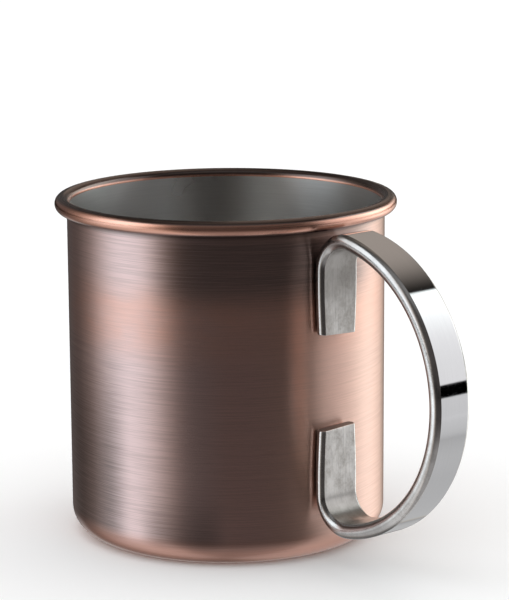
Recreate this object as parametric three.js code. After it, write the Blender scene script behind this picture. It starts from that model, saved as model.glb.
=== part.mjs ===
// A copper-plated steel mug: a deep-drawn cup with a rolled rim, and a handle bent from one flat bar,
// whose two curled-in ends lie flat against the cup and are welded to it.
// Millimetres, +Z up. The origin is the centre of the flat base, and the handle points along +X.

import * as THREE from 'three';

// ---- Driving dimensions ----

const CUP_RADIUS = 42; // outside of the straight wall
const CUP_HEIGHT = 90.3; // table to the top of the rolled rim
const SHEET = 0.8; // sheet thickness of the cup
const BASE_CORNER = 6.6; // outside radius between wall and base
const RIM_ROLL = 2.0; // outside radius of the rolled rim's tube
const RIM_ROLL_END = -115; // degrees; where the rolled edge stops, tucked under the rim

const BAR_WIDTH = 9; // flat face of the handle bar
const BAR_THICKNESS = 3.9;
const BAR_EDGE_BULGE = 1.35; // how far the rounded edges stand out past the flat faces
const LOOP_RADIUS = 39.5; // outside of the handle's big loop
const LOOP_CENTRE_X = 47.2;
const LOOP_CENTRE_Z = 47.5;
const CURL_RADIUS = 8; // centre line of the bend between loop and tab

const TAB_THICKNESS = 3.0; // the bar's ends are pressed thinner and wider
const TAB_BELLY = 1.3; // how much wider the bar is pressed between its end and the loop
const TAB_END_WIDTH = 9.6;
const TAB_END_RISE = 12.2; // each tab stops this far above or below the loop's centre
const TAB_END_SLANT = 0.045; // the ends are cut a little out of square: rise per unit of width
const TAB_CLEARANCE = 0.3; // between the cup's wall and the back of a tab, where the weld lies

const WELD_WIDTH = 6;
const WELD_HEIGHT = 12;
const WELD_CLEARANCE = 0.05; // left on both sides of the weld metal

const CUP_SEGMENTS = 72;
const EDGE_SEGMENTS = 6;
const LOOP_STEPS = 44;
const CURL_STEPS = 9;
const TAB_STEPS = 6;
const TAB_SHARE = 0.55; // of the pressed stretch, the rest being the curl

// ---- Cup ----

function arcPoints(centreX, centreY, radius, startDegrees, endDegrees, segments) {
  const points = [];
  for (let i = 0; i <= segments; i += 1) {
    const angle = THREE.MathUtils.degToRad(THREE.MathUtils.lerp(startDegrees, endDegrees, i / segments));
    points.push(new THREE.Vector2(centreX + radius * Math.cos(angle), centreY + radius * Math.sin(angle)));
  }
  return points;
}

// The sheet's section from the middle of the base, up the outside of the wall, along the underside of the
// rolled rim to its edge, back over the rim, and down the inside.
function makeCup() {
  const baseEdge = CUP_RADIUS - BASE_CORNER;
  const rollX = CUP_RADIUS - SHEET + RIM_ROLL;
  const rollZ = CUP_HEIGHT - RIM_ROLL;
  const profile = [
    new THREE.Vector2(0, 0),
    ...arcPoints(baseEdge, BASE_CORNER, BASE_CORNER, -90, 0, 6),
    ...arcPoints(rollX, rollZ, RIM_ROLL - SHEET, 180, RIM_ROLL_END, 10),
    ...arcPoints(rollX, rollZ, RIM_ROLL, RIM_ROLL_END, 180, 14),
    ...arcPoints(baseEdge, BASE_CORNER, BASE_CORNER - SHEET, 0, -90, 5),
    new THREE.Vector2(0, SHEET),
  ];
  const cup = new THREE.LatheGeometry(profile, CUP_SEGMENTS);
  cup.rotateX(Math.PI / 2);
  return cup;
}

// ---- Handle ----

// Section of the bar, with its width along X and its outer face towards +Y: two flat faces joined by convex
// edges, each an arc that meets the faces at a crisp corner.
function barSection() {
  const halfWidth = BAR_WIDTH / 2;
  const halfThickness = BAR_THICKNESS / 2;
  const edgeRadius = (halfThickness ** 2 + BAR_EDGE_BULGE ** 2) / (2 * BAR_EDGE_BULGE);
  const edgeCentre = halfWidth + BAR_EDGE_BULGE - edgeRadius;
  const reach = Math.asin(halfThickness / edgeRadius);
  const section = new THREE.Shape();
  section.moveTo(-halfWidth, -halfThickness);
  section.lineTo(halfWidth, -halfThickness);
  section.absarc(edgeCentre, 0, edgeRadius, -reach, reach, false);
  section.lineTo(-halfWidth, halfThickness);
  section.absarc(-edgeCentre, 0, edgeRadius, Math.PI - reach, Math.PI + reach, false);
  return section;
}

// Width of the pressed stretch, from the bar's end (0) to where the loop begins (1).
function pressedWidth(along) {
  const belly = TAB_BELLY * Math.sin(Math.PI * along);
  return THREE.MathUtils.lerp(TAB_END_WIDTH, BAR_WIDTH, along) + belly;
}

// Stations along the bar's centre line, from the end of the upper tab round to the end of the lower tab.
// Each has a place in the XZ plane, the direction its outer face looks in, and the bar's size there.
function barStations() {
  const loopCentreRadius = LOOP_RADIUS - BAR_THICKNESS / 2;
  const tabX = CUP_RADIUS + TAB_CLEARANCE + TAB_THICKNESS / 2;
  const curlX = tabX + CURL_RADIUS;
  const curlRise = Math.sqrt((loopCentreRadius - CURL_RADIUS) ** 2 - (curlX - LOOP_CENTRE_X) ** 2);
  const loopHalfAngle = Math.atan2(curlRise, curlX - LOOP_CENTRE_X);
  const upper = [];

  for (let i = 0; i < TAB_STEPS; i += 1) {
    const t = i / TAB_STEPS;
    upper.push({
      x: tabX,
      z: LOOP_CENTRE_Z + THREE.MathUtils.lerp(TAB_END_RISE, curlRise, t),
      angle: Math.PI,
      width: pressedWidth(TAB_SHARE * t),
      thickness: TAB_THICKNESS,
      slant: -TAB_END_SLANT * (1 - t),
    });
  }
  for (let i = 0; i < CURL_STEPS; i += 1) {
    const t = i / CURL_STEPS;
    const angle = THREE.MathUtils.lerp(Math.PI, loopHalfAngle, t);
    const eased = THREE.MathUtils.smoothstep(t, 0, 1);
    upper.push({
      x: curlX + CURL_RADIUS * Math.cos(angle),
      z: LOOP_CENTRE_Z + curlRise + CURL_RADIUS * Math.sin(angle),
      angle,
      width: pressedWidth(TAB_SHARE + (1 - TAB_SHARE) * t),
      thickness: THREE.MathUtils.lerp(TAB_THICKNESS, BAR_THICKNESS, eased),
      slant: 0,
    });
  }

  const loop = [];
  for (let i = 0; i <= LOOP_STEPS; i += 1) {
    const angle = THREE.MathUtils.lerp(loopHalfAngle, -loopHalfAngle, i / LOOP_STEPS);
    loop.push({
      x: LOOP_CENTRE_X + loopCentreRadius * Math.cos(angle),
      z: LOOP_CENTRE_Z + loopCentreRadius * Math.sin(angle),
      angle,
      width: BAR_WIDTH,
      thickness: BAR_THICKNESS,
      slant: 0,
    });
  }

  const lower = upper.map((station) => ({
    ...station,
    z: 2 * LOOP_CENTRE_Z - station.z,
    angle: -station.angle,
    slant: -station.slant,
  }));
  return [...upper, ...loop, ...lower.reverse()];
}

// The straight blank has one unit of length per station. Bending lays each of its sections on its station,
// after its ends have been pressed to the station's width and thickness.
function makeHandle() {
  const stations = barStations();
  const steps = stations.length - 1;
  const blank = new THREE.ExtrudeGeometry(barSection(), {
    depth: steps,
    steps,
    curveSegments: EDGE_SEGMENTS,
    bevelEnabled: false,
  });
  const position = blank.getAttribute('position');
  for (let i = 0; i < position.count; i += 1) {
    const station = stations[Math.round(position.getZ(i))];
    const pressing = station.thickness / BAR_THICKNESS;
    const bulge = (Math.abs(position.getX(i)) - BAR_WIDTH / 2) * pressing;
    const across = Math.sign(position.getX(i)) * (station.width / 2 + bulge);
    const outward = position.getY(i) * pressing;
    const x = station.x + outward * Math.cos(station.angle);
    const z = station.z + outward * Math.sin(station.angle) + across * station.slant;
    position.setXYZ(i, x, across, z);
  }
  return blank;
}

// ---- Welds ----

// Weld metal in the thin space between the round wall and the flat back of a tab.
function makeWeld() {
  const innerRadius = CUP_RADIUS + WELD_CLEARANCE;
  const frontX = CUP_RADIUS + TAB_CLEARANCE - WELD_CLEARANCE;
  const halfAngle = Math.asin(WELD_WIDTH / 2 / innerRadius);
  const outline = new THREE.Shape();
  outline.absarc(0, 0, innerRadius, halfAngle, -halfAngle, true);
  outline.lineTo(frontX, -WELD_WIDTH / 2);
  outline.lineTo(frontX, WELD_WIDTH / 2);
  const weld = new THREE.ExtrudeGeometry(outline, {
    depth: WELD_HEIGHT,
    curveSegments: 24,
    bevelEnabled: false,
  });
  weld.translate(0, 0, -WELD_HEIGHT / 2);
  return weld;
}

// ---- Assembly ----

function addPart(group, name, geometry, material) {
  const part = new THREE.Mesh(geometry, material);
  part.name = name;
  group.add(part);
  return part;
}

const copper = new THREE.MeshStandardMaterial({ color: 0xa06a55, roughness: 0.36, metalness: 1 });
const polishedSteel = new THREE.MeshStandardMaterial({ color: 0xc9c9cb, roughness: 0.12, metalness: 1 });
const upperWeldMetal = new THREE.MeshStandardMaterial({ color: 0x8e8b88, roughness: 0.6, metalness: 1 });
const lowerWeldMetal = upperWeldMetal.clone();

const mug = new THREE.Group();
addPart(mug, 'cup_body', makeCup(), copper);
addPart(mug, 'handle_bar', makeHandle(), polishedSteel);

const weldRise = TAB_END_RISE + WELD_HEIGHT / 2 + 2;
const upperWeld = addPart(mug, 'upper_weld', makeWeld(), upperWeldMetal);
upperWeld.position.z = LOOP_CENTRE_Z + weldRise;
const lowerWeld = addPart(mug, 'lower_weld', makeWeld(), lowerWeldMetal);
lowerWeld.position.z = LOOP_CENTRE_Z - weldRise;

export default mug;
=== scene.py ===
import math

import bpy
import numpy as np
from mathutils import Matrix, Vector


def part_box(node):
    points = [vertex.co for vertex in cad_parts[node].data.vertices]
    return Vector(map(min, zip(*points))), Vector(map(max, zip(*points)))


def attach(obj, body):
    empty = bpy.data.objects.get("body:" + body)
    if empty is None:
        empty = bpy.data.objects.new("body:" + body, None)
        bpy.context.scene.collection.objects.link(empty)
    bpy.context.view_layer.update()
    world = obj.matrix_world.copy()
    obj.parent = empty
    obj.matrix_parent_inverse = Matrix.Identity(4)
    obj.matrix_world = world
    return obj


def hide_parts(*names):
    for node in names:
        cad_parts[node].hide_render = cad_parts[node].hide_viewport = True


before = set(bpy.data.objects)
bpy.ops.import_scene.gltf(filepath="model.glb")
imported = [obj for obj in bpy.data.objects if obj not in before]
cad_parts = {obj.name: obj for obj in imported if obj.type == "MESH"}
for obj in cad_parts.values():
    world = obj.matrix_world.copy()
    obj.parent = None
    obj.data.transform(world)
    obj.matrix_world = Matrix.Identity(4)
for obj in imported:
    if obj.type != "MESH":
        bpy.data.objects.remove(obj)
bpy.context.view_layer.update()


# ---- The view ----
# The mug is seen from a little above its rim through a long lens, with its handle on the right,
# turned about forty degrees away from the side.

VIEW_DISTANCE = 0.6637
VIEW_TURN = math.radians(-39.25)
VIEW_RISE = math.radians(13.46)
VIEW_ROLL = -0.0057
VIEW_AIM = Vector((0.0013, 0.0086, 0.0604))
CUP_MIDDLE = Vector((0, 0, 0.042))
SENSOR_WIDTH = 36
LENS = 148.5
NEAREST_SEEN = 0.01


def place_camera():
    """The camera sits on a sphere round the cup's middle and its axis goes through the aim
    point."""
    outward = Vector((
        math.cos(VIEW_RISE) * math.cos(VIEW_TURN),
        math.cos(VIEW_RISE) * math.sin(VIEW_TURN),
        math.sin(VIEW_RISE),
    ))
    eye = CUP_MIDDLE + VIEW_DISTANCE * outward
    forward = (VIEW_AIM - eye).normalized()
    right = forward.cross(Vector((0, 0, 1))).normalized()
    up = right.cross(forward)
    rolled_right = math.cos(VIEW_ROLL) * right + math.sin(VIEW_ROLL) * up
    rolled_up = math.cos(VIEW_ROLL) * up - math.sin(VIEW_ROLL) * right
    data = bpy.data.cameras.new("camera")
    data.sensor_width = SENSOR_WIDTH
    data.lens = LENS
    data.clip_start = NEAREST_SEEN
    camera = bpy.data.objects.new("camera", data)
    turn = Matrix((rolled_right, rolled_up, -forward)).transposed()
    camera.matrix_world = Matrix.Translation(eye) @ turn.to_4x4()
    bpy.context.collection.objects.link(camera)
    bpy.context.scene.camera = camera


place_camera()
bpy.context.scene.view_settings.view_transform = "Standard"


# ---- The cup ----
# One deep-drawn cup of thin stainless sheet with its rim rolled outwards and down. The outside and
# the rolled rim are copper plated, brushed round the wall and darkened to an antique brown. The
# inside is bare steel.

MM = 0.001
CUP_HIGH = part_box("cup_body")[1]
SHEET = 0.8 * MM
# The rolled rim is a tube of this outside radius. Its edge stops at this angle in degrees, under
# the rim.
RIM_ROLL = 2.0 * MM
RIM_ROLL_END = -115.0
BASE_CORNER = 6.6 * MM
WALL_RADIUS = CUP_HIGH.x - 2 * RIM_ROLL + SHEET
ROLL_X = WALL_RADIUS - SHEET + RIM_ROLL
ROLL_Z = CUP_HIGH.z - RIM_ROLL
CUP_SIDES = 256
CORNER_STEPS = 18
ROLL_STEPS = 44
ROLL_INSIDE_STEPS = 30
EDGE_STEPS = 8


def arc(centre, radius, start, end, steps, facing=1.0):
    """Points centre + radius (cos a, sin a) for a from start to end in degrees, with their normals,
    which look away from the centre, or towards it where facing is -1."""
    angles = np.radians(np.linspace(start, end, steps + 1))
    direction = np.stack([np.cos(angles), np.sin(angles)], axis=1)
    return np.asarray(centre) + radius * direction, facing * direction


def cup_profile():
    """The sheet's section as radius and height, in arcs joined by straight lines: base corner,
    underside of the roll, its rounded edge, outside of the roll, and inner base corner. With it
    come the normals and the row where the bare inside begins."""
    base_edge = WALL_RADIUS - BASE_CORNER
    edge_angle = math.radians(RIM_ROLL_END)
    edge_middle = (
        ROLL_X + (RIM_ROLL - SHEET / 2) * math.cos(edge_angle),
        ROLL_Z + (RIM_ROLL - SHEET / 2) * math.sin(edge_angle),
    )
    outer = [
        arc((base_edge, BASE_CORNER), BASE_CORNER, -90, 0, CORNER_STEPS),
        arc((ROLL_X, ROLL_Z), RIM_ROLL - SHEET, 180, RIM_ROLL_END, ROLL_INSIDE_STEPS, facing=-1.0),
        arc(edge_middle, SHEET / 2, RIM_ROLL_END + 180, RIM_ROLL_END + 360, EDGE_STEPS),
        arc((ROLL_X, ROLL_Z), RIM_ROLL, RIM_ROLL_END, 180, ROLL_STEPS),
    ]
    inner = arc(
        (base_edge, BASE_CORNER), BASE_CORNER - SHEET, 0, -90, CORNER_STEPS - 2, facing=-1.0
    )
    rows = np.concatenate([points for points, _ in outer + [inner]])
    normals = np.concatenate([normals for _, normals in outer + [inner]])
    return rows, normals, sum(len(points) for points, _ in outer) - 1


def mesh_object(name, points, faces, normals):
    """A smooth mesh whose shading normals are the given ones, one per vertex."""
    mesh = bpy.data.meshes.new(name)
    mesh.from_pydata(points.tolist(), [], faces)
    mesh.shade_smooth()
    mesh.normals_split_custom_set_from_vertices(normals.tolist())
    piece = bpy.data.objects.new(name, mesh)
    bpy.context.collection.objects.link(piece)
    return piece


def closed_rows(rows, sides):
    """Four-sided faces between each row of points and the next, the last side joined to the
    first."""
    i, j = np.meshgrid(np.arange(rows - 1), np.arange(sides), indexing="ij")
    k = (j + 1) % sides
    quads = [i * sides + j, i * sides + k, (i + 1) * sides + k, (i + 1) * sides + j]
    return np.stack(quads, axis=2).reshape(-1, 4)


def revolve(profile, normals, sides, low_pole, high_pole):
    """Surface (r cos a, r sin a, z) for every profile row and angle a, closed at both ends by a fan
    of three-sided faces round a pole at the given height."""
    angles = np.linspace(0, 2 * np.pi, sides, endpoint=False)
    cosine, sine = np.cos(angles), np.sin(angles)
    points = np.stack([
        profile[:, :1] * cosine,
        profile[:, :1] * sine,
        np.repeat(profile[:, 1:], sides, axis=1),
    ], axis=2).reshape(-1, 3)
    looks = np.stack([
        normals[:, :1] * cosine,
        normals[:, :1] * sine,
        np.repeat(normals[:, 1:], sides, axis=1),
    ], axis=2).reshape(-1, 3)
    rows = len(profile)
    ring = np.arange(sides)
    following = (ring + 1) % sides
    low, high = rows * sides, rows * sides + 1
    low_fan = np.stack([np.full(sides, low), following, ring], axis=1)
    last = (rows - 1) * sides
    high_fan = np.stack([np.full(sides, high), last + ring, last + following], axis=1)
    faces = closed_rows(rows, sides).tolist() + low_fan.tolist() + high_fan.tolist()
    points = np.concatenate([points, [[0, 0, low_pole], [0, 0, high_pole]]])
    looks = np.concatenate([looks, [[0, 0, -1.0], [0, 0, 1.0]]])
    return points, faces, looks


class Nodes:
    """A material's or world's node tree, built by short calls."""

    def __init__(self, tree):
        self.tree = tree
        tree.nodes.clear()

    def add(self, kind, inputs=None, **settings):
        """A node with its settings made and its inputs set or linked."""
        node = self.tree.nodes.new(kind)
        for name, value in settings.items():
            setattr(node, name, value)
        for key, value in (inputs or {}).items():
            if isinstance(value, bpy.types.NodeSocket):
                self.tree.links.new(value, node.inputs[key])
            else:
                node.inputs[key].default_value = value
        return node

    def noise(self, vector, scale, detail=3.0, roughness=0.55, stretch=(1, 1, 1)):
        """Noise between 0 and 1 on the vector, stretched along each axis."""
        mapping = self.add("ShaderNodeMapping", {"Vector": vector, "Scale": stretch})
        place = mapping.outputs[0]
        inputs = {"Vector": place, "Scale": scale, "Detail": detail, "Roughness": roughness}
        return self.add("ShaderNodeTexNoise", inputs).outputs["Fac"]

    def spread(self, value, low, high, to_low=0.0, to_high=1.0, shape="SMOOTHSTEP"):
        """The value's stretch from low to high, laid onto to_low to to_high."""
        inputs = {
            "Value": value,
            "From Min": low,
            "From Max": high,
            "To Min": to_low,
            "To Max": to_high,
        }
        return self.add("ShaderNodeMapRange", inputs, interpolation_type=shape).outputs[0]

    def math(self, operation, first, second=0.0):
        """The operation on two numbers."""
        return self.add("ShaderNodeMath", {0: first, 1: second}, operation=operation).outputs[0]

    def times(self, first, second):
        """The product of two numbers."""
        return self.math("MULTIPLY", first, second)

    def vector(self, operation, first, second=(0, 0, 0), result="Vector"):
        """The operation on two vectors, or on a vector and a number where it is SCALE."""
        inputs = {0: first, "Scale" if operation == "SCALE" else 1: second}
        return self.add("ShaderNodeVectorMath", inputs, operation=operation).outputs[result]

    def blend(self, factor, first, second):
        """A number between the first and the second."""
        inputs = {"Factor": factor, "A": first, "B": second}
        return self.add("ShaderNodeMix", inputs, data_type="FLOAT").outputs[0]

    def mix(self, factor, first, second):
        """A colour between the first and the second. A Mix node's colours are its inputs 6 and 7
        and its output 2."""
        inputs = {0: factor, 6: first, 7: second}
        return self.add("ShaderNodeMix", inputs, data_type="RGBA").outputs[2]

    def shader(self, inputs, kind="ShaderNodeBsdfPrincipled"):
        """The material's one shader, joined to its output."""
        surface = self.add(kind, inputs).outputs[0]
        self.add("ShaderNodeOutputMaterial", {"Surface": surface})


def new_material(name):
    """An empty material with its node tree."""
    material = bpy.data.materials.new(name)
    material.use_nodes = True
    return material, Nodes(material.node_tree)


COPPER_BRIGHT = (0.88, 0.455, 0.335, 1)
COPPER_FRESH = (0.76, 0.475, 0.385, 1)
COPPER_BROWN = (0.74, 0.455, 0.405, 1)
# Greyer copper for the left side, a painted whitening of the reflected light streak there.
COPPER_GREY = (0.76, 0.555, 0.54, 1)
# Redder, darker copper at the base corner: wear, and painted shade of the floor contact.
COPPER_BASE = (0.74, 0.375, 0.28, 1)
# Patina's dark brown, also used for the painted dark reflection in the band below the rim.
COPPER_DARK = (0.27, 0.185, 0.168, 1)
# Painted shade low on the left, which narrows the reflected light streak.
COPPER_STREAK_SHADE = (0.17, 0.118, 0.11, 1)
# Near black painted shade for the groove under the bead and the bead's crest.
COPPER_RIM_SHADE = (0.045, 0.028, 0.024, 1)
COPPER_GRAZING = (0.92, 0.72, 0.64, 1)
# The heights where a band comes in, is full, is still full and has gone out.
# The dark band is partly patina and partly painted dark reflection.
DARK_BAND = (64 * MM, 75 * MM, 83 * MM, 88 * MM)
WORN_BAND = (50 * MM, 62 * MM, 67 * MM, 76 * MM)
# The base corner's wear and painted shade fade out between these heights.
BASE_WEAR_AND_SHADE_TOP = (3 * MM, 8.5 * MM)
# Heights between which the painted shade that narrows the reflected light streak fades out.
STREAK_SHADE_TOP = (22 * MM, 66 * MM)
LOW_STREAK_SHADE_TOP = (4 * MM, 24 * MM)
# The way a side of the cup faces, as the angle round from the handle.
FRESH_SIDE = math.radians(20)
# The dark band's painted reflection and the crest's painted shade are strongest on this side, which
# faces the camera.
DARK_SIDE = math.radians(-22)
# Side of the painted shade low down that narrows the reflected light streak.
LOW_STREAK_SHADE_SIDE = math.radians(-56)
# Side of the greyer copper, a painted whitening of the reflected light streak there.
GREY_SIDE = math.radians(-79)
# Side of the painted shade further left that narrows the same streak.
STREAK_SHADE_SIDE = math.radians(-98)
# Noise per metre along X, Y and Z, which makes streaks round the wall.
FINE_STREAKS = (70, 70, 4400)
COARSE_STREAKS = (30, 30, 2300)
SATIN_STREAKS = (70, 70, 2600)
PATINA_MOST = 0.28
PATINA_FRESH = 0.14


def antique_copper():
    """Lacquered copper brushed round the wall. Its streaks are noise that is long in X and Y and
    thin in Z. The antique brown is uneven: fresher on the handle's side, worn in a band below the
    rim, and rubbed back to bright copper on the bead's outside. Light and shade are painted in too:
    greyer copper on the left whitens the reflected light streak there, painted shade low on the
    left narrows that streak, a band above the worn one is dark on the side facing the camera,
    partly patina and partly painted dark reflection, painted shade blackens the groove under the
    bead, with some patina there, and the bead's crest, and the base corner's redder, darker copper
    is wear and painted shade of the floor contact."""
    material, nodes = new_material("antique_copper")
    place = nodes.add("ShaderNodeTexCoord").outputs["Object"]
    height = nodes.add("ShaderNodeSeparateXYZ", {0: place}).outputs["Z"]
    radius = nodes.vector("LENGTH", nodes.vector("MULTIPLY", place, (1, 1, 0)), result="Value")
    fine = nodes.noise(place, 1.0, roughness=0.6, stretch=FINE_STREAKS)
    coarse = nodes.noise(place, 1.0, roughness=0.7, stretch=COARSE_STREAKS)
    cloud = nodes.noise(place, 38.0, detail=4.0, roughness=0.6, stretch=(1, 1, 2))
    streaks = nodes.math("ADD", nodes.times(fine, 0.68), nodes.times(coarse, 0.32))

    def band(stops):
        """1 between the two middle heights, fading to 0 at the outer two."""
        rise = nodes.spread(height, stops[0], stops[1])
        return nodes.times(rise, nodes.spread(height, stops[2], stops[3], 1.0, 0.0))

    def side(angle, low, high):
        """1 on the side that faces the angle, fading out as the cosine of the turn from it falls
        from high to low."""
        toward = (math.cos(angle) / WALL_RADIUS, math.sin(angle) / WALL_RADIUS, 0)
        return nodes.spread(nodes.vector("DOT_PRODUCT", place, toward, result="Value"), low, high)

    def bead_out(low, high):
        """1 from the bead's inside out to low roll radii past its middle, and 0 from high on."""
        return nodes.spread(radius, ROLL_X + low * RIM_ROLL, ROLL_X + high * RIM_ROLL, 1.0, 0.0)

    def bead_up(low, high):
        """0 up to low roll radii above the bead's middle, and 1 from high on."""
        return nodes.spread(height, ROLL_Z + low * RIM_ROLL, ROLL_Z + high * RIM_ROLL)

    # The base corner's redder, darker copper is wear and painted shade of the floor contact.
    base_wear_and_shade = nodes.spread(height, *BASE_WEAR_AND_SHADE_TOP, 0.85, 0.0)
    rim_wear = bead_up(-0.9, -0.5)
    # Painted shade along the bead's crest, wider on the side facing the camera.
    wide_crest = nodes.times(bead_out(0.76, 0.92), side(DARK_SIDE, 0.35, 0.8))
    crest = nodes.times(nodes.math("MAXIMUM", bead_out(0.5, 0.85), wide_crest), bead_up(0.1, 0.4))
    # Painted shade in the groove under the bead, with some patina there.
    groove = nodes.times(bead_up(-1.9, -0.9), nodes.math("SUBTRACT", 1.0, rim_wear))
    fresh = side(FRESH_SIDE, 0.6, 0.9)
    worn = nodes.times(band(WORN_BAND), nodes.spread(cloud, 0.35, 0.65, 0.27, 0.6))
    # The band below the rim: partly patina, partly painted dark reflection, only on the side facing
    # the camera.
    dark = nodes.times(band(DARK_BAND), side(DARK_SIDE, 0.66, 0.86))
    dark = nodes.times(dark, nodes.spread(streaks, 0.3, 0.6, 0.65, 1.0))
    # Painted shade low on the left that narrows the reflected light streak.
    streak_shade = nodes.times(side(STREAK_SHADE_SIDE, 0.92, 0.985), nodes.spread(height, *STREAK_SHADE_TOP, 0.9, 0.0))
    low_streak_shade = nodes.spread(height, *LOW_STREAK_SHADE_TOP, 0.65, 0.0)
    low_streak_shade = nodes.times(low_streak_shade, side(LOW_STREAK_SHADE_SIDE, 0.955, 0.992))
    streak_shade = nodes.math("MAXIMUM", streak_shade, low_streak_shade)
    streak_shade = nodes.times(streak_shade, nodes.spread(streaks, 0.35, 0.6, 0.75, 1.0))
    # Near black painted shade in the groove and along the crest.
    rim_shade = nodes.math("MAXIMUM", nodes.times(groove, 0.95), nodes.times(crest, 0.95))
    patina = nodes.math("SUBTRACT", PATINA_MOST, nodes.times(fresh, PATINA_FRESH))
    patina = nodes.times(nodes.spread(streaks, 0.4, 0.62), patina)
    patina = nodes.times(patina, nodes.math("SUBTRACT", 1.0, worn))

    # Greyer copper on the left is a painted whitening of the reflected light streak there.
    colour = nodes.mix(side(GREY_SIDE, 0.74, 0.96), COPPER_BROWN, COPPER_GREY)
    for share, tone in (
        (fresh, COPPER_FRESH),
        (worn, COPPER_BRIGHT),
        (patina, COPPER_DARK),
        (dark, COPPER_DARK),
        (streak_shade, COPPER_STREAK_SHADE),
        (base_wear_and_shade, COPPER_BASE),
        (rim_wear, COPPER_BRIGHT),
        (rim_shade, COPPER_RIM_SHADE),
    ):
        colour = nodes.mix(share, colour, tone)

    rough = nodes.spread(fine, 0.3, 0.7, 0.31, 0.43, shape="LINEAR")
    relief = nodes.add("ShaderNodeBump", {"Height": fine, "Strength": 0.25, "Distance": 0.03 * MM})
    tangent = nodes.add("ShaderNodeTangent", direction_type="RADIAL", axis="Z")
    nodes.shader({
        "Base Color": colour,
        "Metallic": 1.0,
        "Roughness": nodes.math("SUBTRACT", rough, nodes.times(rim_wear, 0.08)),
        "Anisotropic": 0.75,
        "Anisotropic Rotation": 0.25,
        "Tangent": tangent.outputs[0],
        "Normal": relief.outputs[0],
        "Specular Tint": COPPER_GRAZING,
        "Coat Weight": 1.0,
        "Coat IOR": 1.65,
        "Coat Roughness": 0.2,
    })
    return material


def satin_inside():
    """Bare stainless sheet, drawn and then polished round and round, with a soft sheen."""
    material, nodes = new_material("satin_inside")
    place = nodes.add("ShaderNodeTexCoord").outputs["Object"]
    grain = nodes.noise(place, 1.0, detail=4.0, roughness=0.65, stretch=SATIN_STREAKS)
    cloud = nodes.noise(place, 45.0)
    relief = nodes.add("ShaderNodeBump", {"Height": grain, "Strength": 0.2, "Distance": 0.02 * MM})
    tangent = nodes.add("ShaderNodeTangent", direction_type="RADIAL", axis="Z")
    nodes.shader({
        "Base Color": nodes.mix(grain, (0.66, 0.655, 0.645, 1), (0.8, 0.795, 0.785, 1)),
        "Metallic": 1.0,
        "Roughness": nodes.spread(cloud, 0.3, 0.7, 0.27, 0.36, shape="LINEAR"),
        "Anisotropic": 0.6,
        "Anisotropic Rotation": 0.25,
        "Tangent": tangent.outputs[0],
        "Normal": relief.outputs[0],
    })
    return material


def make_cup():
    """The profile turned round Z, with the faces from the bare row on and the inner fan left
    unplated."""
    profile, normals, bare_row = cup_profile()
    points, faces, looks = revolve(profile, normals, CUP_SIDES, 0.0, SHEET)
    cup = mesh_object("cup", points, faces, looks)
    bare = np.concatenate([
        np.repeat(np.arange(len(profile) - 1) >= bare_row, CUP_SIDES),
        np.zeros(CUP_SIDES, bool),
        np.ones(CUP_SIDES, bool),
    ])
    cup.data.materials.append(antique_copper())
    cup.data.materials.append(satin_inside())
    cup.data.polygons.foreach_set("material_index", bare.astype(np.int32))
    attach(cup, "root")
    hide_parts("cup_body")


make_cup()


# ---- The handle ----
# One flat stainless bar with convex edges, pressed thinner and wider at both ends, bent to a D and
# welded to the wall by its curled-in ends. Its outer face is mirror polished, its edges are softer
# and its inner face is left satin.

BAR_LOW, BAR_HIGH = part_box("handle_bar")
BAR_WIDTH = 9.0 * MM
BAR_THICKNESS = 3.9 * MM
BAR_EDGE_BULGE = 1.35 * MM
BAR_ARRIS = 0.08 * MM
LOOP_RADIUS = 39.5 * MM
LOOP_X = BAR_HIGH.x - LOOP_RADIUS
LOOP_Z = (BAR_LOW.z + BAR_HIGH.z) / 2
# The bar's ends are pressed into upright tabs, whose belly is the extra width between end and loop.
CURL_RADIUS = 8.0 * MM
TAB_THICKNESS = 3.0 * MM
TAB_BELLY = 1.3 * MM
TAB_END_WIDTH = 9.6 * MM
TAB_END_RISE = 12.2 * MM
TAB_END_SLANT = 0.045
TAB_END_ROUND = 0.25 * MM
# How much of the end's rounding draws its sides in.
SIDE_INSET = 0.3
TAB_X = BAR_LOW.x + TAB_THICKNESS / 2
# How much of the pressed stretch is tab, the rest being the curl.
TAB_SHARE = 0.55
# How satin the edges are, where the outer face is 0 and the inner face 1.
EDGE_SATIN = 0.6
# Heights past the loop's middle where painted shade darkens the inner face.
UPPER_BEND_SHADE = (14 * MM, 27 * MM)
LOWER_BEND_SHADE = (-33 * MM, -28 * MM)
FACE_POINTS = 9
BAR_EDGE_STEPS = 18
END_POINTS = 7
TAB_POINTS = 26
CURL_POINTS = 48
LOOP_POINTS = 221


def smooth(t):
    """From 0 to 1 with level ends: 3 t squared less 2 t cubed."""
    return t * t * (3 - 2 * t)


def bar_section():
    """The bar's section as across and outward distances, with its normals and how satin each point
    is: inner face, one convex edge, outer face, the other edge. Each edge is an arc through the
    corners of the two faces."""
    half_width, half_thickness = BAR_WIDTH / 2, BAR_THICKNESS / 2
    radius = (half_thickness ** 2 + BAR_EDGE_BULGE ** 2) / (2 * BAR_EDGE_BULGE)
    reach = math.degrees(math.asin(half_thickness / radius))
    centre = half_width + BAR_EDGE_BULGE - radius
    face = np.linspace(-1, 1, FACE_POINTS)[:, None] * [half_width - BAR_ARRIS, 0]
    inner_face = face + [0, -half_thickness]
    outer_face = -face + [0, half_thickness]
    right, right_normals = arc((centre, 0), radius, -reach, reach, BAR_EDGE_STEPS)
    left, left_normals = arc((-centre, 0), radius, 180 - reach, 180 + reach, BAR_EDGE_STEPS)
    points = np.concatenate([inner_face, right, outer_face, left])
    normals = np.concatenate([
        np.tile([0.0, -1.0], (len(face), 1)),
        right_normals,
        np.tile([0.0, 1.0], (len(face), 1)),
        left_normals,
    ])
    satin = np.concatenate([
        np.ones(len(face)),
        np.full(len(right), EDGE_SATIN),
        np.zeros(len(face)),
        np.full(len(left), EDGE_SATIN),
    ])
    return points, normals, satin


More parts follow.
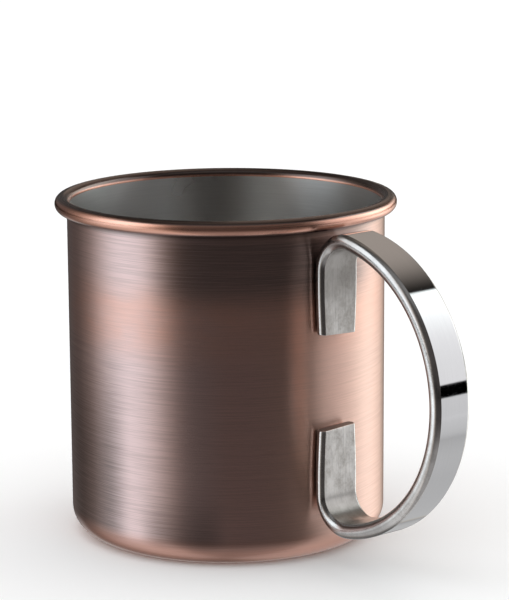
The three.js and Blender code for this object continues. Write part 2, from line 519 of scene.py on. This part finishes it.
def bar_stations():
    """Rows of x, z, outward angle, width, thickness, slant, inset and lean along the centre line: a
    rounded end, the upright tab, the curl, the loop, and then the same mirrored in the loop's
    middle height. Inset draws the section in and lean tips its normals towards the bar's end, which
    rounds it."""
    loop_radius = LOOP_RADIUS - BAR_THICKNESS / 2
    curl_x = TAB_X + CURL_RADIUS
    curl_rise = math.sqrt((loop_radius - CURL_RADIUS) ** 2 - (curl_x - LOOP_X) ** 2)
    loop_half_angle = math.atan2(curl_rise, curl_x - LOOP_X)

    def width(along):
        """From the end's width to the bar's as along goes from 0 to 1, plus the belly's half
        wave."""
        belly = TAB_BELLY * np.sin(np.pi * along)
        return TAB_END_WIDTH + (BAR_WIDTH - TAB_END_WIDTH) * along + belly

    def rows(x, z, angle, width, thickness, slant=0.0, inset=0.0, lean=0.0):
        columns = np.broadcast_arrays(x, z, angle, width, thickness, slant, inset, lean)
        return np.stack(columns, axis=1)

    turn = np.radians(np.linspace(90, 0, END_POINTS))
    rounded = rows(
        TAB_X,
        TAB_END_RISE + TAB_END_ROUND * (1 - np.sin(turn)),
        np.pi,
        TAB_END_WIDTH,
        TAB_THICKNESS,
        TAB_END_SLANT,
        TAB_END_ROUND * (1 - np.cos(turn)),
        turn,
    )
    t = np.linspace(0, 1, TAB_POINTS)[1:-1]
    tab = rows(
        TAB_X,
        TAB_END_RISE + TAB_END_ROUND + (curl_rise - TAB_END_RISE - TAB_END_ROUND) * t,
        np.pi,
        width(TAB_SHARE * t),
        TAB_THICKNESS,
        TAB_END_SLANT * (1 - t),
    )
    t = np.linspace(0, 1, CURL_POINTS)[:-1]
    angle = np.pi + (loop_half_angle - np.pi) * t
    curl = rows(
        curl_x + CURL_RADIUS * np.cos(angle),
        curl_rise + CURL_RADIUS * np.sin(angle),
        angle,
        width(TAB_SHARE + (1 - TAB_SHARE) * t),
        TAB_THICKNESS + (BAR_THICKNESS - TAB_THICKNESS) * smooth(t),
    )
    angle = np.linspace(loop_half_angle, -loop_half_angle, LOOP_POINTS)
    loop = rows(
        LOOP_X + loop_radius * np.cos(angle),
        loop_radius * np.sin(angle),
        angle,
        BAR_WIDTH,
        BAR_THICKNESS,
    )
    upper = np.concatenate([rounded, tab, curl])
    # The lower end mirrors z, the outward angle and the lean. Its slant keeps the sign the upper
    # one loses.
    lower = upper[::-1] * [1, -1, -1, 1, 1, 1, 1, -1]
    upper[:, 5] *= -1
    return np.concatenate([upper, loop, lower])


def sweep_bar(section, normals, stations):
    """Point = station + outward distance along the station's outward direction + across distance
    along Y. The pressed ends scale the section's thickness and bulge and set its face width."""
    x, z, angle, width, thickness, slant, inset, lean = (
        column[:, None] for column in stations.T
    )
    pressing = (thickness - 2 * inset) / BAR_THICKNESS
    bulge = (np.abs(section[:, 0]) - BAR_WIDTH / 2) * pressing
    half_width = width / 2 - SIDE_INSET * inset
    across = np.sign(section[:, 0]) * np.maximum(half_width + bulge, 0)
    outward = section[:, 1] * pressing
    points = np.stack([
        x + outward * np.cos(angle),
        across,
        LOOP_Z + z + outward * np.sin(angle) + across * slant,
    ], axis=2)
    end_direction = np.stack([np.sin(angle), 0 * angle, -np.cos(angle)], axis=2)
    side = np.stack([
        normals[:, 1] * np.cos(angle),
        normals[:, 0] + 0 * angle,
        normals[:, 1] * np.sin(angle),
    ], axis=2)
    tip = lean[:, :, None]
    looks = side * np.cos(tip) - end_direction * np.sin(tip)
    return points, looks


STEEL_DARK_DULL = (0.58, 0.545, 0.51, 1)
STEEL_LIGHT_DULL = (0.97, 0.94, 0.91, 1)
STEEL_SPECK = (0.95, 0.94, 0.935, 1)
STEEL_SCRATCH = (0.30, 0.285, 0.27, 1)
# Painted shade for the inner face at the bends.
STEEL_BEND_SHADE = (0.21, 0.19, 0.175, 1)
# Noise per metre along and across the bar.
LONG_GRAIN = (60, 4200, 1)


def steel_bar():
    """Stainless steel. Where satin is 1 the face is dull, cloudy and scratched lengthways, and
    painted shade darkens it at the bends. Where it is 0 it is mirror polished with a very fine
    grain along the bar."""
    material, nodes = new_material("polished_bar")
    satin = nodes.add("ShaderNodeAttribute", attribute_name="satin").outputs["Fac"]
    place = nodes.add("ShaderNodeTexCoord").outputs["Object"]
    route = nodes.add("ShaderNodeUVMap", uv_map="along_bar").outputs[0]
    smudge = nodes.noise(place, 190.0, detail=6.0, roughness=0.7, stretch=(1, 1, 0.6))
    speck = nodes.noise(place, 1400.0, roughness=0.7)
    grain = nodes.noise(route, 1.0, roughness=0.6, stretch=LONG_GRAIN)

    height = nodes.add("ShaderNodeSeparateXYZ", {0: place}).outputs["Z"]
    past_middle = nodes.math("SUBTRACT", height, LOOP_Z)
    # Painted shade on the inner face near the upper and lower bends.
    upper_bend_shade = nodes.spread(past_middle, *UPPER_BEND_SHADE, 0.0, 0.6)
    lower_bend_shade = nodes.spread(past_middle, *LOWER_BEND_SHADE, 0.6, 0.0)
    dull = nodes.mix(nodes.spread(smudge, 0.36, 0.64), STEEL_DARK_DULL, STEEL_LIGHT_DULL)
    dull = nodes.mix(nodes.spread(speck, 0.35, 0.65, 0.0, 0.38), dull, STEEL_SPECK)
    dull = nodes.mix(nodes.spread(grain, 0.45, 0.7, 0.0, 0.25), dull, STEEL_SCRATCH)
    dull = nodes.mix(nodes.math("ADD", upper_bend_shade, lower_bend_shade), dull, STEEL_BEND_SHADE)
    polished = nodes.mix(grain, (0.66, 0.66, 0.675, 1), (0.74, 0.74, 0.75, 1))
    rough_dull = nodes.spread(smudge, 0.3, 0.7, 0.42, 0.3, shape="LINEAR")
    rough_polished = nodes.spread(grain, 0.3, 0.7, 0.03, 0.07, shape="LINEAR")
    bumps = nodes.blend(satin, nodes.times(grain, 0.06), speck)
    relief = nodes.add("ShaderNodeBump", {"Height": bumps, "Strength": 0.3, "Distance": 0.02 * MM})
    nodes.shader({
        "Base Color": nodes.mix(satin, polished, dull),
        "Metallic": 1.0,
        "Roughness": nodes.blend(satin, rough_polished, rough_dull),
        "Normal": relief.outputs[0],
    })
    return material


def sheared_steel():
    """The bar's two ends are as the shears left them: rough and dark, with drag lines."""
    material, nodes = new_material("sheared_end")
    place = nodes.add("ShaderNodeTexCoord").outputs["Object"]
    drag = nodes.noise(place, 1.0, stretch=(2400, 200, 200))
    colour = nodes.mix(drag, (0.15, 0.125, 0.11, 1), (0.26, 0.23, 0.21, 1))
    nodes.shader({"Base Color": colour, "Metallic": 1.0, "Roughness": 0.5})
    return material


def make_handle():
    """The section swept along the stations and capped at both ends. Its UV map is the distance
    along the bar and round its section, for the grain."""
    section, normals, satin = bar_section()
    points, looks = sweep_bar(section, normals, bar_stations())
    rows, sides = points.shape[:2]
    first_cap = np.arange(sides)[::-1]
    last_cap = (rows - 1) * sides + np.arange(sides)
    faces = closed_rows(rows, sides).tolist() + [first_cap.tolist(), last_cap.tolist()]
    handle = mesh_object("handle", points.reshape(-1, 3), faces, looks.reshape(-1, 3))
    satin_values = handle.data.attributes.new("satin", "FLOAT", "POINT").data
    satin_values.foreach_set("value", np.tile(satin, rows))

    def distance(line):
        """How far along the line each of its points is."""
        steps = np.linalg.norm(np.diff(line, axis=0), axis=1)
        return np.concatenate([[0], np.cumsum(steps)])

    grid = np.meshgrid(distance(points[:, 0]), distance(section), indexing="ij")
    uv = np.stack(grid, axis=2).reshape(-1, 2)
    corners = np.empty(len(handle.data.loops), np.int32)
    handle.data.loops.foreach_get("vertex_index", corners)
    along_bar = handle.data.uv_layers.new(name="along_bar").data
    along_bar.foreach_set("uv", uv[corners].ravel())

    handle.data.materials.append(steel_bar())
    handle.data.materials.append(sheared_steel())
    cut = np.zeros(len(faces), np.int32)
    cut[-2:] = 1
    handle.data.polygons.foreach_set("material_index", cut)
    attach(handle, "root")
    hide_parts("handle_bar")


make_handle()


# ---- The welds ----
# A pad of weld metal behind each tab joins the flat bar to the round wall. It is as welded: grey,
# rough and tinted by the heat.


def weld_metal():
    """Dull grey steel with small ripples and a faint straw and blue heat tint."""
    material, nodes = new_material("weld_metal")
    place = nodes.add("ShaderNodeTexCoord").outputs["Object"]
    ripple = nodes.noise(place, 900.0)
    tint = nodes.noise(place, 260.0, detail=2.0)
    relief = nodes.add("ShaderNodeBump", {"Height": ripple, "Strength": 0.6, "Distance": 0.05 * MM})
    nodes.shader({
        "Base Color": nodes.mix(tint, (0.36, 0.33, 0.28, 1), (0.3, 0.32, 0.37, 1)),
        "Metallic": 1.0,
        "Roughness": nodes.spread(ripple, 0.3, 0.7, 0.45, 0.65, shape="LINEAR"),
        "Normal": relief.outputs[0],
    })
    return material


WELD_METAL = weld_metal()
for weld_name in ("upper_weld", "lower_weld"):
    weld = bpy.data.objects[weld_name]
    weld.data.materials.clear()
    weld.data.materials.append(WELD_METAL)


# ---- The studio ----
# A pale floor in a studio that is dark in front, with a tall soft light on the left, a large bright
# panel on the right and behind, and a soft light overhead. Metal mirrors the studio; the floor only
# takes light.

FLOOR_REACH = 6.0
FLOOR_WHITE = (0.97, 0.97, 0.97, 1)


def make_floor():
    """A square of plain matt floor, which reflections don't show."""
    mesh = bpy.data.meshes.new("floor")
    signs = ((-1, -1), (1, -1), (1, 1), (-1, 1))
    corners = [(x * FLOOR_REACH, y * FLOOR_REACH, 0) for x, y in signs]
    mesh.from_pydata(corners, [], [(0, 1, 2, 3)])
    floor = bpy.data.objects.new("floor", mesh)
    bpy.context.collection.objects.link(floor)
    material, nodes = new_material("pale_floor")
    nodes.shader({"Color": FLOOR_WHITE}, kind="ShaderNodeBsdfDiffuse")
    mesh.materials.append(material)
    floor.visible_glossy = False


# How bright the studio is round the mug, by the angle from the viewer in degrees, positive to the
# right.
STUDIO_ROUND = (
    (-180, (0.07, 0.07, 0.07)),
    (-156, (0.13, 0.125, 0.125)),
    (-134, (0.125, 0.115, 0.11)),
    (-115, (0.38, 0.335, 0.305)),
    (-103, (0.96, 0.93, 0.91)),
    (-94, (1.44, 1.50, 1.53)),
    (-84, (1.82, 1.95, 2.04)),
    (-76, (1.95, 2.09, 2.19)),
    (-65, (1.78, 1.89, 1.96)),
    (-55, (1.30, 1.27, 1.24)),
    (-46, (0.50, 0.44, 0.39)),
    (-36, (0.13, 0.108, 0.095)),
    (-27, (0.08, 0.074, 0.072)),
    (-5, (0.072, 0.065, 0.063)),
    (25, (0.072, 0.065, 0.063)),
    (46, (0.075, 0.068, 0.066)),
    (54, (0.09, 0.083, 0.08)),
    (64, (0.17, 0.16, 0.157)),
    (73, (0.80, 0.79, 0.79)),
    (88, (1.18, 1.18, 1.19)),
    (105, (1.85, 1.92, 1.90)),
    (116, (2.40, 2.56, 2.52)),
    (128, (2.40, 2.56, 2.52)),
    (140, (1.92, 1.86, 1.74)),
    (152, (1.12, 1.05, 0.95)),
    (162, (0.36, 0.34, 0.31)),
    (174, (0.08, 0.08, 0.08)),
)
STUDIO_MOST = 2.6
# How that brightness changes with the height above the horizon, in degrees.
STUDIO_HEIGHT = (
    (-90, 0.0),
    (-28, 0.0),
    (-17, 0.70),
    (-6.3, 0.76),
    (-5.9, 0.0),
    (0.8, 0.0),
    (1.2, 0.95),
    (44, 0.92),
    (46, 0.0),
    (90, 0.0),
)
# Past this angle the panel's top slopes down, by this much elevation for each turn of azimuth.
PANEL_CORNER = math.radians(112)
PANEL_SLOPE = 0.9
PANEL_SLOPE_RISE = (0.02, 0.25)
# Elevations between which each light fades in or out.
FLOOR_FADE = (math.radians(-28), math.radians(-15))
GLOW_FADE = (math.radians(-44), math.radians(-22))
TOP_FADE = (math.radians(40), math.radians(60))
BACK_FADE = (math.radians(42), math.radians(84))
FLOOR_MOST = 0.50
FLOOR_GLOW = 0.26
FLOOR_BEHIND = 0.5
TOP_LIGHT = 0.30
WARM_BACK = (0.43, 0.375, 0.33)
SOFT_DOME = (1.1, 1.1, 1.1, 1)


def ramp(nodes, value, low, high, stops):
    """A colour for the value, read off straight lines between the stops, which lie from 0 at low to
    1 at high."""
    place = nodes.spread(value, low, high, shape="LINEAR")
    node = nodes.add("ShaderNodeValToRGB", {"Fac": place})
    node.color_ramp.interpolation = "LINEAR"
    while len(node.color_ramp.elements) < len(stops):
        node.color_ramp.elements.new(1.0)
    for element, (position, colour) in zip(node.color_ramp.elements, stops):
        element.position = position
        element.color = colour
    return node.outputs[0]


def make_studio():
    """World colour = round(azimuth from the viewer) x height(elevation), and below it the same
    round held down to the floor's brightness, with a warm dim wall behind and a little light from
    above and below. The floor is lit by a plain soft dome instead."""
    world = bpy.data.worlds.new("studio")
    bpy.context.scene.world = world
    world.use_nodes = True
    nodes = Nodes(world.node_tree)
    direction = nodes.add("ShaderNodeTexCoord").outputs["Generated"]
    split = nodes.add("ShaderNodeSeparateXYZ", {0: direction}).outputs
    turned = nodes.math("SUBTRACT", nodes.math("ARCTAN2", split["Y"], split["X"]), VIEW_TURN)
    full_turn = {0: turned, 1: math.pi, 2: -math.pi}
    azimuth = nodes.add("ShaderNodeMath", full_turn, operation="WRAP").outputs[0]
    elevation = nodes.math("ARCSINE", split["Z"])
    view = (math.cos(VIEW_TURN), math.sin(VIEW_TURN), 0)
    ahead = nodes.vector("DOT_PRODUCT", direction, view, result="Value")

    round_stops = [
        ((angle + 180) / 360, (*(part / STUDIO_MOST for part in colour), 1))
        for angle, colour in STUDIO_ROUND
    ]
    height_stops = [
        ((angle + 90) / 180, (share, share, share, 1)) for angle, share in STUDIO_HEIGHT
    ]
    around = ramp(nodes, azimuth, -math.pi, math.pi, round_stops)
    around = nodes.vector("SCALE", around, STUDIO_MOST)
    past_corner = nodes.math("MAXIMUM", nodes.math("SUBTRACT", azimuth, PANEL_CORNER), 0.0)
    past_corner = nodes.times(past_corner, nodes.spread(elevation, *PANEL_SLOPE_RISE))
    sloped = nodes.math("ADD", elevation, nodes.times(past_corner, PANEL_SLOPE))
    upright = ramp(nodes, sloped, -math.pi / 2, math.pi / 2, height_stops)

    above = nodes.spread(elevation, *TOP_FADE, 0.0, TOP_LIGHT)
    above = nodes.times(above, nodes.spread(ahead, -0.05, 0.25))
    below = nodes.spread(elevation, *GLOW_FADE, FLOOR_GLOW, 0.0)
    below = nodes.times(below, nodes.spread(ahead, -0.3, 0.2, 0.3, 1.0))
    behind = nodes.spread(sloped, *BACK_FADE)
    behind = nodes.times(behind, nodes.spread(ahead, -0.25, 0.05, 1.0, 0.0))
    floor_behind = nodes.spread(ahead, -0.82, -0.62, FLOOR_BEHIND, 0.0)
    floor_light = nodes.vector("MINIMUM", around, (FLOOR_MOST, FLOOR_MOST, FLOOR_MOST))
    floor_light = nodes.vector("MAXIMUM", floor_light, floor_behind)
    floor_share = nodes.spread(elevation, *FLOOR_FADE, 1.0, 0.0)
    floor_light = nodes.vector("SCALE", floor_light, floor_share)

    light = nodes.vector("ADD", nodes.vector("MULTIPLY", around, upright), floor_light)
    light = nodes.vector("ADD", light, nodes.vector("SCALE", WARM_BACK, behind))
    light = nodes.vector("ADD", light, nodes.math("ADD", above, below))
    path = nodes.add("ShaderNodeLightPath").outputs
    soft = nodes.math("MAXIMUM", path["Is Camera Ray"], path["Is Diffuse Ray"])
    colour = nodes.mix(soft, light, SOFT_DOME)
    background = nodes.add("ShaderNodeBackground", {"Color": colour, "Strength": 1.0})
    nodes.add("ShaderNodeOutputWorld", {"Surface": background.outputs[0]})


make_floor()
make_studio()
